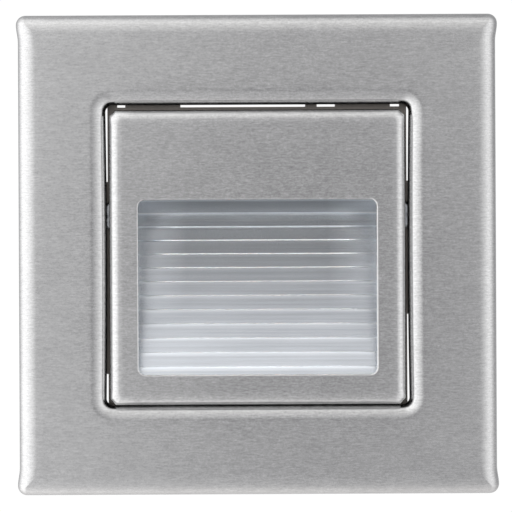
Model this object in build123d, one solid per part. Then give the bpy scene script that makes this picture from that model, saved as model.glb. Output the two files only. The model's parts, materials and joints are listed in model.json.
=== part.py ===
from build123d import *
import math
import os

# A flush-mounted step light for a round wall box, in millimetres.
# X runs to the right, Y into the wall and Z up. The wall's surface is y = 0,
# and the axis of the wall box, through the middle of the screw circle, is the Y axis.

os.makedirs("parts", exist_ok=True)

# ---- Shared ----
cut_past = 1.0  # how far a cut runs past what it cuts
beyond = 50.0  # further out than any piece reaches

# ---- Small screws with cross-slotted pan heads ----
small_screw_radius = 1.05
small_hole_radius = 1.45  # in the sheet under the head
screw_head_radius = 2.2
screw_head_height = 1.5
head_round_share = 0.35  # of the head's height
recess_depth_share = 0.55  # of the head's height
recess_reach_share = 0.6  # of the head's radius
recess_half_width_share = 0.13  # of the head's radius
bore_spare = 1.0  # how far a screw's bore runs past its tip

# ---- Stamped frame, seen on the wall ----
frame_width = 86.3  # across the corners, where the sides stand out
frame_height = 86.0
frame_side_pull = 0.35  # how far the left and right sides step in between the corners
frame_ear_length = 3.2
frame_corner_radius = 2.9
frame_least_radius = 0.5  # of the corners drawn far inside the outline
frame_edge_radius = 2.7
frame_sheet = 0.8
frame_front_y = -9.0
frame_wall_gap = 0.3
opening_width = 55.0
opening_height = 54.3
opening_drop = 0.2
opening_corner_radius = 1.2
opening_edge_radius = 2.6
opening_flange_depth = 5.0

# ---- Plastic carrier and foam seal inside the frame ----
carrier_gap = 0.1
carrier_wall = 2.0
carrier_plate = 1.8
carrier_collar_wall = 1.2
carrier_collar_depth = 3.8
seal_thickness = 1.0
seal_inset = 0.2

# ---- Folded centre cover with the light window ----
cover_side_gap = 1.05  # to the frame's opening
cover_top_gap = 1.1
cover_bottom_gap = 0.5
cover_proud = 0.8  # how far it stands in front of the frame
cover_sheet = 0.8
cover_edge_radius = 1.6
cover_flange_depth = 5.0
cover_corner_cut = 1.7
window_side_bar = 5.25  # of the cover beside the window
window_top_bar = 16.1
window_bottom_bar = 5.5
window_corner_radius = 1.2

# ---- Plastic carrier behind the centre cover ----
inner_carrier_plate = 1.6
inner_carrier_gap = 0.1
inner_carrier_wall = 1.2
inner_carrier_depth = 4.4
window_margin = 1.2
post_width = 3.6
post_thickness = 1.2
post_end_y = 5.5
post_top_x = 7.0
post_top_z = 20.5
post_side_z = -8.0
post_tip_chamfer = 0.3

# ---- Steel support ring ----
ring_size = 70.5
ring_corner_radius = 4.0
ring_thickness = 1.2
screw_circle = 60.0
screw_hole_radius = 1.9
post_hole_gap = 0.4
ring_clear = 0.5  # between the ring's openings and what passes through them
ring_screw_top = (17.5, 18.5)
ring_screw_bottom = (10.0, -22.6)
ring_screw_length = 9.0
sight_side_reach = (-0.35, 0.8)  # of the cut-outs beside the cover, from the opening's edge
sight_top_reach = (-0.15, 0.4)  # of those above it
sight_corner_z = 29.0
sight_upper_z = 13.3
sight_lower_left_z = -21.6
sight_lower_right_z = -10.9
sight_top_spans = ((-25.4, -23.9), (-13.9, 8.8), (10.9, 14.2), (24.2, 25.9))

# ---- Frame clips on the ring ----
clip_x = 33.8
clip_z = 22.0
clip_width = 5.0
clip_sheet = 0.4
clip_foot = 2.6
clip_height = 4.2
clip_play = 0.3

# ---- Claws that spread behind the wall ----
claw_z = 7.0
claw_pivot_y = 2.4
claw_pivot_reach = 1.85  # these reaches are along X, from the housing's flat side
claw_front_reach = 0.6
claw_wing_reach = 1.5
claw_ramp_reach = 1.85
claw_screw_reach = 2.15
claw_back_reach = 3.15
claw_tip_reach = 3.75
claw_pin_radius = 0.8
claw_pin_play = 0.05
claw_cheek_inner = 1.9  # from the screw's axis to the cheek, along Z
claw_cheek = 1.2
claw_lug = 0.9
claw_lug_width = 2.4
claw_lug_radius = 1.6
claw_lug_gap = 0.3
claw_length_y = 20.9
claw_tooth = 0.9
claw_ramp_length = 3.8
claw_ramp_lead = 0.6  # between the ramp's end and the nut at rest
claw_neck = 3.0  # from the tip to where the back starts
claw_bridge_inset = 0.3
claw_screw_radius = 1.4
claw_screw_length = 19.0
claw_screw_head_radius = 2.6
claw_screw_head_height = 1.9
claw_screw_play = 0.25
claw_nut_rest_y = (14.4, 17.6)
claw_nut_play = 0.05
claw_nut_side_gap = 0.3  # to the housing and to each cheek
claw_nut_rim = 0.5

# ---- Plastic housing in the wall box ----
housing_radius = 27.8
housing_top_z = 25.8
housing_wall = 1.2
housing_depth = 25.0
boss_radius = 2.4
boss_bore_radius = 1.1
guide_height = 1.6
guide_thickness = 1.0
guide_root = 0.2  # how far a guide is let into the wall
guide_end_gap = 3.0
rear_boss_lead = 3.0  # how far a rear boss starts in front of the board
vent_length = 9.0
vent_width = 1.4
vent_depth = 4.0
vent_start_y = 10.0
vent_count = 3
vent_pitch = 6.0

# ---- Rear cover ----
rear_plate = 1.6
rear_rim = 1.0
rear_fit = 0.15
rear_screw = (18.5, 16.0)
rear_screw_length = 7.0
terminal_fit = 0.25
rear_edge_chamfer = 0.5
rear_vent_z = 10.0
rear_vent_count = 7
rear_vent_pitch = 4.0

# ---- Slanted ribbed reflector ----
reflector_overlap = 1.0  # behind each side of the window
reflector_slant = 27.5  # degrees from upright
reflector_foot_y = -7.0
reflector_foot_drop = 1.4  # below the window
rib_pitch = 2.54
rib_riser = 2.0
rib_nose_radius = 0.3
rib_root_radius = 0.22
reflector_back = 1.2

# ---- Light chamber around the reflector ----
chamber_gap = 0.1
chamber_wall = 0.6
chamber_front_y = -7.1
chamber_ceiling = 1.2
chamber_foot_z = -24.3
chamber_ledge = 2.0
chamber_ledge_depth = 1.3
chamber_play = 0.3
chamber_side_gap = 0.05  # to the housing's flat sides

# ---- LED strip above the ceiling ----
led_box_back_y = -1.7
led_box_height = 2.8
led_box_wall = 1.0
led_board_thickness = 1.0
led_board_end = 22.4
led_count = 6
led_size = 2.8
led_height = 0.7
led_spacing = 6.4
lens_thickness = 1.0
lens_fit = 0.15
lens_ledge = 0.5
pad_thickness = 0.3
pad_inset = 0.2
spreader_sheet = 1.0
spreader_leg_half = 4.4
spreader_top_z = 24.0
led_screw_x = 21.0
led_screw_radius = 0.75
led_screw_head_radius = 1.3
led_screw_head_height = 0.9
led_screw_length = 3.6
led_screw_rim = 0.4
led_screw_play = 0.1
rivet_radius = 1.0
rivet_head_radius = 1.7
rivet_head_height = 0.6
rivet_head_round = 0.3
rivet_tail_radius = 1.35
rivet_x = 2.4
rivet_z = 20.5

# ---- Driver board and what is on it ----
board_y = 19.0
board_thickness = 1.6
board_half_width = 22.3
board_radius = 25.6
board_screw_clear = 2.9
board_top_gap = 0.4
insulation_thickness = 0.4
insulation_low_z = -14.0
insulation_drop = 1.0

# ---- Wires from the driver to the LED strip ----
wire_radius = 0.6
wire_bend = 2.4
wire_x = (10.6, 12.8)
wire_y = -4.4
wire_rise_z = 19.4
header_size = (6.4, 4.4)
header_depth = 3.0
plug_depth = 3.4
plug_shrink = 0.5
plug_chamfer = 0.4

# ---- Parts on the board: places are x and z, heights are towards the room ----
can_round_share = 0.12  # of the can's radius
input_can_place = (-12.0, -14.0)
input_can_radius = 4.0
input_can_height = 11.0
can_groove_depth = 0.3
can_groove_span = (1.8, 2.4)  # from the board
output_can_place = (-9.5, 17.0)
output_can_radius = 3.1
output_can_height = 8.0
choke_place = (1.6, -9.0)
choke_flange_radius = 4.4
choke_neck_radius = 1.8
choke_winding_radius = 3.7
choke_neck_span = (1.2, 7.6)
choke_height = 8.6
film_place = (11.7, -11.5)
film_size = (10.0, 5.0)
film_height = 8.0
film_round = 0.6
bridge_place = (-13.0, -4.5)
bridge_size = (6.4, 4.8)
bridge_height = 2.6
bridge_chamfer = 0.4
lead_half = 0.35
resistor_place = (13.5, -6.0)
resistor_radius = 1.6
resistor_length = 8.0
resistor_lift = 0.6
resistor_round = 0.5
resistor_lead_reach = 5.4
varistor_place = (-1.5, -18.6)
varistor_radius = 4.2
varistor_thickness = 3.0
varistor_lift = 0.6
varistor_round = 0.8
varistor_lead_x = 2.0
chip_place = (1.0, 6.0)
chip_size = (3.9, 4.9)
chip_span = (0.25, 1.75)
chip_leg_count = 4
chip_leg_pitch = 1.27
chip_leg_width = 0.4
chip_leg_height = 0.6
chip_leg_reach = 3.0

# ---- Terminal block ----
terminal_half_width = 13.0
terminal_z = (-12.0, 4.0)
terminal_depth = 10.6
terminal_wall = 1.0
entry_x = (9.8, 3.4)
entry_z = -8.2
entry_radius = 1.5
button_x = 6.6
button_z = -1.2
button_size = (5.0, 4.0)
button_play = 0.3
button_proud = 1.6
button_length = 5.0
button_chamfer = 0.4
terminal_chamfer = 0.5
terminal_divider = 2.4
terminal_room_depth = 5.2
spring_sheet = 0.3
spring_width = 2.6
spring_leaf = ((0.2, 6.2), (0.2, 2.6), (3.4, 4.0), (3.9, 7.6))  # y and z from the contact's corner
contact_sheet = 0.8
contact_gap = 0.4
contact_height = 6.5
contact_depth = 5.0

# ---- Leaf springs that hold the centre cover's posts ----
catch_sheet = 0.4
catch_gap = 0.3
catch_span = (0.6, 5.0)

# ---- Worked out from the values above ----
opening_z = -opening_drop
opening_top_z = opening_z + opening_height / 2
cover_width = opening_width - 2 * cover_side_gap
cover_height = opening_height - cover_top_gap - cover_bottom_gap
cover_z = opening_z - (cover_top_gap - cover_bottom_gap) / 2
cover_front_y = frame_front_y - cover_proud
cover_back_y = cover_front_y + cover_flange_depth
window_width = cover_width - 2 * window_side_bar
window_height = cover_height - window_top_bar - window_bottom_bar
window_top_z = cover_z + cover_height / 2 - window_top_bar
window_z = window_top_z - window_height / 2
sight_slot_x = tuple(opening_width / 2 + reach for reach in sight_side_reach)
sight_slot_z = tuple(opening_top_z + reach for reach in sight_top_reach)
reflector_width = window_width + 2 * reflector_overlap
reflector_foot = (reflector_foot_y, window_z - window_height / 2 - reflector_foot_drop)
ring_front_y = -ring_thickness
slant = math.tan(math.radians(reflector_slant))
rib_count = math.ceil((window_top_z - reflector_foot[1]) / rib_pitch)
rib_drop = rib_pitch - rib_riser
reflector_top_z = reflector_foot[1] + rib_count * rib_pitch + rib_drop
rib_advance = rib_pitch * slant
rib_root_depth = rib_riser * slant
back_shift = rib_root_depth + reflector_back / math.cos(math.radians(reflector_slant))
chamber_half = reflector_width / 2 + chamber_gap
chamber_outer = chamber_half + chamber_wall
housing_flat_x = chamber_outer + chamber_side_gap + housing_wall
claw_pivot = (housing_flat_x + claw_pivot_reach, claw_pivot_y)
claw_front_x = housing_flat_x + claw_front_reach
claw_wing_x = housing_flat_x + claw_wing_reach
claw_ramp_x = housing_flat_x + claw_ramp_reach
claw_screw_x = housing_flat_x + claw_screw_reach
claw_back_x = housing_flat_x + claw_back_reach
claw_tip_x = housing_flat_x + claw_tip_reach
ceiling_z = reflector_top_z + chamber_gap
ceiling_top_z = ceiling_z + chamber_ceiling
led_board_z = ceiling_top_z + led_box_height
led_top_z = led_board_z + led_board_thickness
led_middle_y = (chamber_front_y + led_box_back_y) / 2
led_room_half = led_screw_x - led_screw_head_radius - led_screw_rim
led_room_y = (chamber_front_y + led_box_wall, led_box_back_y - led_box_wall)
spreader_z = led_top_z + pad_thickness
rear_y = housing_depth + rear_plate
board_back_y = board_y + board_thickness
wire_end_y = board_y - header_depth - plug_depth
claw_lug_near = claw_cheek_inner + claw_cheek + claw_lug_gap
claw_lug_far = claw_lug_near + claw_lug
terminal_back_y = board_back_y + terminal_depth
post_side_x = cover_width / 2 - cover_sheet - inner_carrier_gap - post_thickness / 2


# ---- Small helpers ----
def both(half, middle=0.0):
    """The span from half below the middle to half above it."""
    return (middle - half, middle + half)


def row(count, pitch):
    """Evenly spaced places either side of zero."""
    return [(index - (count - 1) / 2) * pitch for index in range(count)]


def block(x_span, y_span, z_span):
    """A plain box between pairs of coordinates."""
    sizes = [high - low for low, high in (x_span, y_span, z_span)]
    corner = Pos(x_span[0], y_span[0], z_span[0])
    return corner * Box(*sizes, align=(Align.MIN, Align.MIN, Align.MIN))


def prism(outline, y_span):
    """An outline drawn as seen from the front, run through a depth of the light."""
    front, back = y_span
    return extrude(Plane.XZ.offset(-back) * outline, amount=back - front, dir=(0, -1, 0))


def bar(profile, x_span):
    """A profile drawn in Y and Z, run across the light."""
    left, right = x_span
    return extrude(Plane.YZ.offset(left) * profile, amount=right - left, dir=(1, 0, 0))


def upright(profile, z_span):
    """A profile drawn in X and Y, run upwards."""
    low, high = z_span
    return extrude(Plane.XY.offset(low) * profile, amount=high - low, dir=(0, 0, 1))


def rod(center, y_span, radius):
    """A round rod along Y, at x and z."""
    x, z = center
    front, back = y_span
    return prism(Pos(x, z) * Circle(radius), (front, back))


def slot_cut(x_span, z_span):
    """A straight cut through the support ring."""
    return block(x_span, (ring_front_y - cut_past, cut_past), z_span)


def fillet_front(solid, radius):
    """Rounds every edge of the face that looks at the room."""
    return fillet(solid.faces().sort_by(Axis.Y)[0].edges(), radius)


def save(shape, name):
    export_step(shape, f"parts/{name}.step")


def pan_screw(center, seat_y, shank_radius, length, head_radius, head_height):
    """A cross-slotted screw whose head sits on seat_y and whose tip points to +Y."""
    head = rod(center, (seat_y - head_height, seat_y), head_radius)
    head = fillet_front(head, head_height * head_round_share)
    shank = rod(center, (seat_y, seat_y + length), shank_radius)
    x, z = center
    top_y = seat_y - head_height
    recess_y = (top_y - cut_past, top_y + head_height * recess_depth_share)
    arm = head_radius * recess_reach_share
    blade = head_radius * recess_half_width_share
    cross = block(both(arm, x), recess_y, both(blade, z))
    cross += block(both(blade, x), recess_y, both(arm, z))
    return head + shank - cross


def small_screw(place, seat_y, length):
    """One of the small screws, at x and z."""
    return pan_screw(place, seat_y, small_screw_radius, length, screw_head_radius, screw_head_height)


# ---- Outlines ----
def eared_outline(inset):
    """The frame's outline, drawn in by inset: its sides step in between the corners."""
    half_w = frame_width / 2 - inset
    half_h = frame_height / 2 - inset
    radius = max(frame_corner_radius - inset, frame_least_radius)
    shoulder = half_h - radius
    step = Vector(half_w - frame_side_pull, shoulder - frame_ear_length)
    middle = (Vector(half_w, shoulder) + step) * 0.5
    top = Line((0, half_h), (half_w - radius, half_h))
    corner = TangentArc((half_w - radius, half_h), (half_w, shoulder), tangent=(1, 0))
    ear = TangentArc((half_w, shoulder), middle, tangent=(0, -1))
    neck = TangentArc(middle, step, tangent=ear % 1)
    side = Line(step, (half_w - frame_side_pull, 0))
    right = Curve() + [top, corner, ear, neck, side]
    right = right + mirror(right, about=Plane.XZ)
    return make_face(right + mirror(right, about=Plane.YZ))


def opening_outline(grow):
    """The frame's square opening, grown by a distance."""
    size = (opening_width + 2 * grow, opening_height + 2 * grow)
    return Pos(0, opening_z) * RectangleRounded(*size, opening_corner_radius + grow)


def window_outline(grow):
    """The window in the centre cover, grown by a distance."""
    size = (window_width + 2 * grow, window_height + 2 * grow)
    return Pos(0, window_z) * RectangleRounded(*size, window_corner_radius + grow)


def pot_outline(inset):
    """The housing's outline, drawn in by inset: a circle with flat sides and a flat top."""
    radius = housing_radius - inset
    top = housing_top_z - inset
    clip = Rectangle(2 * (housing_flat_x - inset), top + radius)
    return Circle(radius) & Pos(0, (top - radius) / 2) * clip


def nose_y(z):
    """Where the line through the rib noses lies at a height."""
    return reflector_foot[0] + (z - reflector_foot[1]) * slant


def slanted_band(front, back, z_low, z_high):
    """A band parallel to the rib noses, from front to back of them in Y."""
    return Polygon(
        (nose_y(z_low) + front, z_low),
        (nose_y(z_high) + front, z_high),
        (nose_y(z_high) + back, z_high),
        (nose_y(z_low) + back, z_low),
        align=None,
    )


def strip(points, thickness):
    """A bent strip of sheet with rounded bends, drawn along its middle line."""
    face = Sketch()
    for start, end in zip(points, points[1:]):
        run = Vector(*end) - Vector(*start)
        angle = math.degrees(math.atan2(run.Y, run.X))
        middle = (Vector(*start) + Vector(*end)) * 0.5
        face += Pos(middle) * Rot(0, 0, angle) * SlotCenterToCenter(run.length, thickness)
    return face


# ---- Frame ----
def roll_front(solid, outer_radius, inner_radius):
    """Rolls the front edges of a plate with a hole: round its rim and round the hole."""
    face = solid.faces().sort_by(Axis.Y)[0]
    solid = fillet(face.inner_wires()[0].edges(), inner_radius)
    face = solid.faces().sort_by(Axis.Y)[0]
    return fillet(face.outer_wire().edges(), outer_radius)


def make_frame_cover():
    """The drawn sheet-steel frame, with its outer skirt and a flange round the opening."""
    back = -frame_wall_gap
    face_back = frame_front_y + frame_sheet
    flange_back = frame_front_y + opening_flange_depth
    outside = prism(eared_outline(0) - opening_outline(0), (frame_front_y, back))
    outside = roll_front(outside, frame_edge_radius, opening_edge_radius)
    ring_room = prism(eared_outline(frame_sheet) - opening_outline(frame_sheet), (face_back, flange_back))
    inner_rolls = (frame_edge_radius - frame_sheet, opening_edge_radius - frame_sheet)
    ring_room = roll_front(ring_room, *inner_rolls)
    open_room = prism(eared_outline(frame_sheet), (flange_back, back))
    return outside - ring_room - open_room


def make_frame_carrier():
    """The plastic body that fills the frame and takes the clips of the ring."""
    skin = frame_sheet + carrier_gap
    front = frame_front_y + frame_sheet
    back = -seal_thickness
    body = prism(eared_outline(skin) - opening_outline(skin), (front, back))
    body = roll_front(body, frame_edge_radius - frame_sheet, opening_edge_radius - frame_sheet)
    plate_back = front + carrier_plate
    collar_back = front + carrier_collar_depth
    inside = eared_outline(skin + carrier_wall)
    collar = opening_outline(skin + carrier_collar_wall)
    body -= prism(inside, (plate_back, collar_back)) - prism(collar, (plate_back, collar_back))
    body -= prism(inside, (collar_back, back))
    boss_x = (clip_x + clip_sheet + clip_play, frame_width / 2 - skin - carrier_wall)
    boss_y = (plate_back, ring_front_y - clip_play)
    for side in (-1, 1):
        for z in (-clip_z, clip_z):
            x_span = sorted(side * x for x in boss_x)
            body += block(x_span, boss_y, both(clip_width / 2, z))
    return body


def make_frame_seal():
    """The foam strip between the frame's carrier and the wall."""
    outer = frame_sheet + carrier_gap + seal_inset
    inner = outer + carrier_wall - 2 * seal_inset
    return prism(eared_outline(outer) - eared_outline(inner), (-seal_thickness, 0))


# ---- Centre cover ----
def rolled_box(inset, back):
    """A box with a rolled front edge on all four sides, mitred at the corners."""
    half_w = cover_width / 2 - inset
    half_h = cover_height / 2 - inset
    front = cover_front_y + inset
    radius = cover_edge_radius - inset
    depth = back - front
    across = Pos(0, front + depth / 2) * Rectangle(2 * half_w, depth)
    across = fillet(across.vertices().group_by(Axis.Y)[0], radius)
    along = Pos(front + depth / 2, cover_z) * Rectangle(depth, 2 * half_h)
    along = fillet(along.vertices().group_by(Axis.X)[0], radius)
    tall = upright(across, both(half_h, cover_z))
    return tall & bar(along, both(half_w))


def make_center_cover():
    """The folded steel cover, open where its folds meet, with the light window."""
    open_back_y = cover_back_y + cut_past
    shell = rolled_box(0, cover_back_y) - rolled_box(cover_sheet, open_back_y)
    cut = Rot(0, 0, 45) * Rectangle(cover_corner_cut, cover_corner_cut)
    for side in (-1, 1):
        for end in (-1, 1):
            corner = Pos(side * cover_width / 2, cover_z + end * cover_height / 2)
            shell -= prism(corner * cut, (cover_front_y + cover_sheet, open_back_y))
    return shell - prism(window_outline(0), (cover_front_y - cut_past, cover_back_y))


def post_places():
    """The centre of each post of the inner carrier, with its size in X and Z."""
    top = [(side * post_top_x, post_top_z, post_width, post_thickness) for side in (-1, 1)]
    sides = [(side * post_side_x, post_side_z, post_thickness, post_width) for side in (-1, 1)]
    return top + sides


def make_center_carrier():
    """The plastic plate behind the cover, with the four posts that hold it in the ring."""
    skin = cover_sheet + inner_carrier_gap
    front = cover_front_y + cover_sheet
    plate_back = front + inner_carrier_plate
    wall_back = front + inner_carrier_depth
    size = (cover_width - 2 * skin, cover_height - 2 * skin)
    corner = cover_edge_radius
    plate = Pos(0, cover_z) * RectangleRounded(*size, corner)
    inner = Pos(0, cover_z) * RectangleRounded(
        size[0] - 2 * inner_carrier_wall, size[1] - 2 * inner_carrier_wall, corner / 2
    )
    body = fillet_front(prism(plate, (front, wall_back)), cover_edge_radius - cover_sheet)
    body -= prism(inner, (plate_back, wall_back))
    body -= prism(window_outline(window_margin), (front - cut_past, wall_back))
    for x, z, width, height in post_places():
        post = prism(Pos(x, z) * Rectangle(width, height), (plate_back, post_end_y))
        tip = post.faces().sort_by(Axis.Y)[-1]
        body += chamfer(tip.edges(), post_tip_chamfer)
    return body


# ---- Support ring and what is fixed to it ----
def ring_screw_places():
    """The four screws that hold the housing to the ring."""
    places = []
    for x, z in (ring_screw_top, ring_screw_bottom):
        places += [(-x, z), (x, z)]
    return places


def ring_opening():
    """The hole in the ring that the light chamber and the LED wires pass through."""
    half = chamber_outer + ring_clear
    ledge_shift = back_shift + chamber_ledge_depth
    z_low = reflector_foot[1] + (ring_front_y - ledge_shift - reflector_foot[0]) / slant - ring_clear
    z_high = ceiling_top_z + ring_clear
    main = Pos(0, (z_low + z_high) / 2) * RectangleRounded(2 * half, z_high - z_low, ring_clear * 2)
    notch_x = (wire_x[0] - wire_radius - 2 * ring_clear, wire_x[1] + wire_radius + 2 * ring_clear)
    notch_top = wire_rise_z + wire_radius + 2 * ring_clear
    notch_size = (notch_x[1] - notch_x[0], notch_top - ceiling_z)
    notch = Pos(sum(notch_x) / 2, (notch_top + ceiling_z) / 2) * Rectangle(*notch_size)
    return main + notch


def ring_sight_cuts():
    """The cut-outs seen through the gap between the frame and the centre cover."""
    cuts = []
    right = sight_slot_x
    left = (-sight_slot_x[1], -sight_slot_x[0])
    cuts.append(slot_cut(right, (sight_upper_z, sight_corner_z)))
    cuts.append(slot_cut(left, (sight_upper_z, sight_corner_z)))
    cuts.append(slot_cut(right, (-sight_corner_z, sight_lower_right_z)))
    cuts.append(slot_cut(left, (-sight_corner_z, sight_lower_left_z)))
    cuts += [slot_cut(span, sight_slot_z) for span in sight_top_spans]
    return cuts


def make_support_ring():
    """The steel plate on the wall, with its screw holes and the lugs of the claws."""
    plate = RectangleRounded(ring_size, ring_size, ring_corner_radius) - ring_opening()
    for angle in range(0, 360, 90):
        place = Rot(0, 0, angle) * Pos(screw_circle / 2, 0)
        plate -= place * Circle(screw_hole_radius)
    for x, z, width, height in post_places():
        plate -= Pos(x, z) * Rectangle(width + 2 * post_hole_gap, height + 2 * post_hole_gap)
    for place in ring_screw_places():
        plate -= Pos(*place) * Circle(small_hole_radius)
    for side in (-1, 1):
        hole = Circle(claw_screw_radius + claw_screw_play)
        plate -= Pos(side * claw_screw_x, claw_z) * hole
        plate -= Pos(side * rivet_x, rivet_z) * Circle(rivet_radius)
    ring = prism(plate, (ring_front_y, 0))
    for cut in ring_sight_cuts():
        ring -= cut
    for side in (-1, 1):
        for end in (-1, 1):
            ring += make_claw_lug(side, end)
    return ring


def make_claw_lug(side, end):
    """One tab bent back from the ring, with the hole for a claw's pin."""
    pivot_x, pivot_y = claw_pivot
    z_span = sorted(claw_z + end * reach for reach in (claw_lug_near, claw_lug_far))
    tab = Pos(side * pivot_x, 0) * Rectangle(claw_lug_width, 2 * pivot_y)
    tab = tab + Pos(side * pivot_x, pivot_y) * Circle(claw_lug_radius)
    lug = upright(tab, z_span) & block(both(beyond), (0, beyond), both(beyond))
    return lug - upright(Pos(side * pivot_x, pivot_y) * Circle(claw_pin_radius), z_span)


def make_ring_screws():
    screws = [small_screw(place, ring_front_y, ring_screw_length) for place in ring_screw_places()]
    return Compound(children=screws)


def make_frame_clips():
    """Four bent spring-steel clips that grip the frame's carrier."""
    clips = []
    for side in (-1, 1):
        for z in (-clip_z, clip_z):
            foot_x = sorted((side * (clip_x + clip_sheet), side * (clip_x - clip_foot)))
            leg_x = sorted((side * clip_x, side * (clip_x + clip_sheet)))
            z_span = both(clip_width / 2, z)
            foot = block(foot_x, (ring_front_y - clip_sheet, ring_front_y), z_span)
            leg = block(leg_x, (ring_front_y - clip_height, ring_front_y), z_span)
            clips.append(foot + leg)
    return Compound(children=clips)


# ---- Claws ----
def make_claw(side):
    """Two toothed cheeks either side of the screw, joined at the tip."""
    pivot_x, pivot_y = claw_pivot
    ramp_end = claw_nut_rest_y[0] - claw_ramp_lead
    cheek = Polygon(
        (claw_front_x, pivot_y),
        (claw_front_x, ramp_end - claw_ramp_length),
        (claw_ramp_x, ramp_end),
        (claw_ramp_x, claw_length_y),
        (claw_tip_x, claw_length_y),
        (claw_tip_x - claw_tooth, claw_length_y - claw_tooth),
        (claw_tip_x, claw_length_y - 2 * claw_tooth),
        (claw_back_x, claw_length_y - claw_neck),
        (claw_back_x, pivot_y),
        align=None,
    )
    cheek = cheek + Pos(pivot_x, pivot_y) * Circle((claw_back_x - claw_front_x) / 2)
    cheek -= Pos(pivot_x, pivot_y) * Circle(claw_pin_radius + claw_pin_play)
    bridge_back = claw_length_y - claw_bridge_inset
    bridge_z = both(claw_cheek_inner + claw_cheek / 2, claw_z)
    claw = block((claw_ramp_x, claw_back_x), (bridge_back - claw_cheek, bridge_back), bridge_z)
    for end in (-1, 1):
        reach = (claw_cheek_inner, claw_cheek_inner + claw_cheek)
        claw += upright(cheek, sorted(claw_z + end * value for value in reach))
    return claw if side > 0 else mirror(claw, about=Plane.YZ)


def make_claw_pins():
    """Short hinge pins between the ring's lugs and the claws' cheeks."""
    pins = []
    pivot_x, pivot_y = claw_pivot
    for side in (-1, 1):
        for end in (-1, 1):
            z_span = sorted(claw_z + end * reach for reach in (claw_cheek_inner, claw_lug_far))
            pins.append(upright(Pos(side * pivot_x, pivot_y) * Circle(claw_pin_radius), z_span))
    return Compound(children=pins)


def make_claw_screw(side):
    center = (side * claw_screw_x, claw_z)
    return pan_screw(
        center,
        ring_front_y,
        claw_screw_radius,
        claw_screw_length,
        claw_screw_head_radius,
        claw_screw_head_height,
    )


def make_claw_nut(side):
    """The nut that the screw draws forward, with a wing behind each cheek."""
    inner_x = housing_flat_x + claw_nut_side_gap
    body_x = (inner_x, claw_screw_x + claw_screw_radius + claw_nut_rim)
    nut = block(body_x, claw_nut_rest_y, both(claw_cheek_inner - claw_nut_side_gap, claw_z))
    wing = claw_cheek_inner + claw_cheek
    nut += block((inner_x, claw_wing_x), claw_nut_rest_y, both(wing, claw_z))
    nut -= rod((claw_screw_x, claw_z), claw_nut_rest_y, claw_screw_radius + claw_nut_play)
    return nut if side > 0 else mirror(nut, about=Plane.YZ)


# ---- Housing ----
def rear_screw_places():
    x, z = rear_screw
    return [(-x, -z), (x, -z), (-x, z), (x, z)]


def make_housing():
    """The plastic pot in the wall box, with its screw bosses, guides and vents."""
    pot = prism(pot_outline(0) - pot_outline(housing_wall), (0, housing_depth))
    inside = prism(pot_outline(0), (0, housing_depth))
    for place in ring_screw_places():
        pot += rod(place, (0, board_y), boss_radius) & inside
        pot -= rod(place, (-cut_past, ring_screw_length + bore_spare), boss_bore_radius)
    for place in rear_screw_places():
        pot += rod(place, (board_y - rear_boss_lead, housing_depth), boss_radius) & inside
        bore_start = housing_depth - rear_screw_length - bore_spare
        pot -= rod(place, (bore_start, housing_depth + cut_past), boss_bore_radius)
    guide_near = claw_lug_far + claw_lug_gap
    for side in (-1, 1):
        for end in (-1, 1):
            reach_x = (housing_flat_x - guide_root, housing_flat_x + guide_height)
            x_span = sorted(side * x for x in reach_x)
            reach_z = (guide_near, guide_near + guide_thickness)
            z_span = sorted(claw_z + end * z for z in reach_z)
            pot += block(x_span, (0, housing_depth - guide_end_gap), z_span)
    for x in row(vent_count, vent_pitch):
        vent = (both(vent_width / 2, x), (vent_start_y, vent_start_y + vent_length))
        pot -= block(*vent, both(vent_depth, housing_top_z))
        pot -= block(*vent, both(vent_depth, -housing_radius))
    return pot


def make_rear_cover():
    """The lid at the back, with a rim inside the housing and a window for the terminals."""
    through = (housing_depth - cut_past, rear_y + cut_past)
    lid = prism(pot_outline(0), (housing_depth, rear_y))
    lid = chamfer(lid.faces().sort_by(Axis.Y)[-1].edges(), rear_edge_chamfer)
    skin = housing_wall + rear_fit
    rim = prism(pot_outline(skin) - pot_outline(skin + rear_rim), (board_back_y, housing_depth))
    for place in rear_screw_places():
        rim -= rod(place, (board_y, housing_depth), boss_radius + rear_fit)
        lid -= rod(place, through, small_hole_radius)
    half = terminal_half_width + terminal_fit
    z_span = (terminal_z[0] - terminal_fit, terminal_z[1] + terminal_fit)
    lid -= block(both(half), through, z_span)
    for x in row(rear_vent_count, rear_vent_pitch):
        lid -= block(both(vent_width / 2, x), through, (rear_vent_z, rear_vent_z + vent_length))
    return lid + rim


def make_rear_cover_screws():
    """The four screws of the lid, with their heads at the back."""
    turned = Rot(0, 0, 180) * small_screw((0, 0), 0, rear_screw_length)
    screws = [Pos(x, rear_y, z) * turned for x, z in rear_screw_places()]
    return Compound(children=screws)


# ---- Reflector and light chamber ----
def reflector_profile():
    """The ribbed front from the foot up, closed along the flat back."""
    y, z = reflector_foot
    front = [(y, z)]
    roots = []
    noses = []
    for _ in range(rib_count):
        root = (y + rib_advance, z + rib_drop)
        nose = (y + rib_advance, z + rib_pitch)
        front += [root, nose]
        roots.append(root)
        noses.append(nose)
        y, z = nose
    front.append((y + rib_advance, reflector_top_z))
    back = [(nose_y(height) + back_shift, height) for height in (reflector_top_z, reflector_foot[1])]
    face = Polygon(*front, *back, align=None)
    return face, noses, roots


def make_reflector():
    """The extruded reflector, its ribs rounded at their noses and roots."""
    face, noses, roots = reflector_profile()

    def corners(places):
        return [
            vertex
            for vertex in face.vertices()
            if any(math.dist((vertex.X, vertex.Y), place) < 1e-4 for place in places)
        ]

    face = fillet(corners(noses), rib_nose_radius)
    face = fillet(corners(roots), rib_root_radius)
    return bar(face, both(reflector_width / 2))


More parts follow.
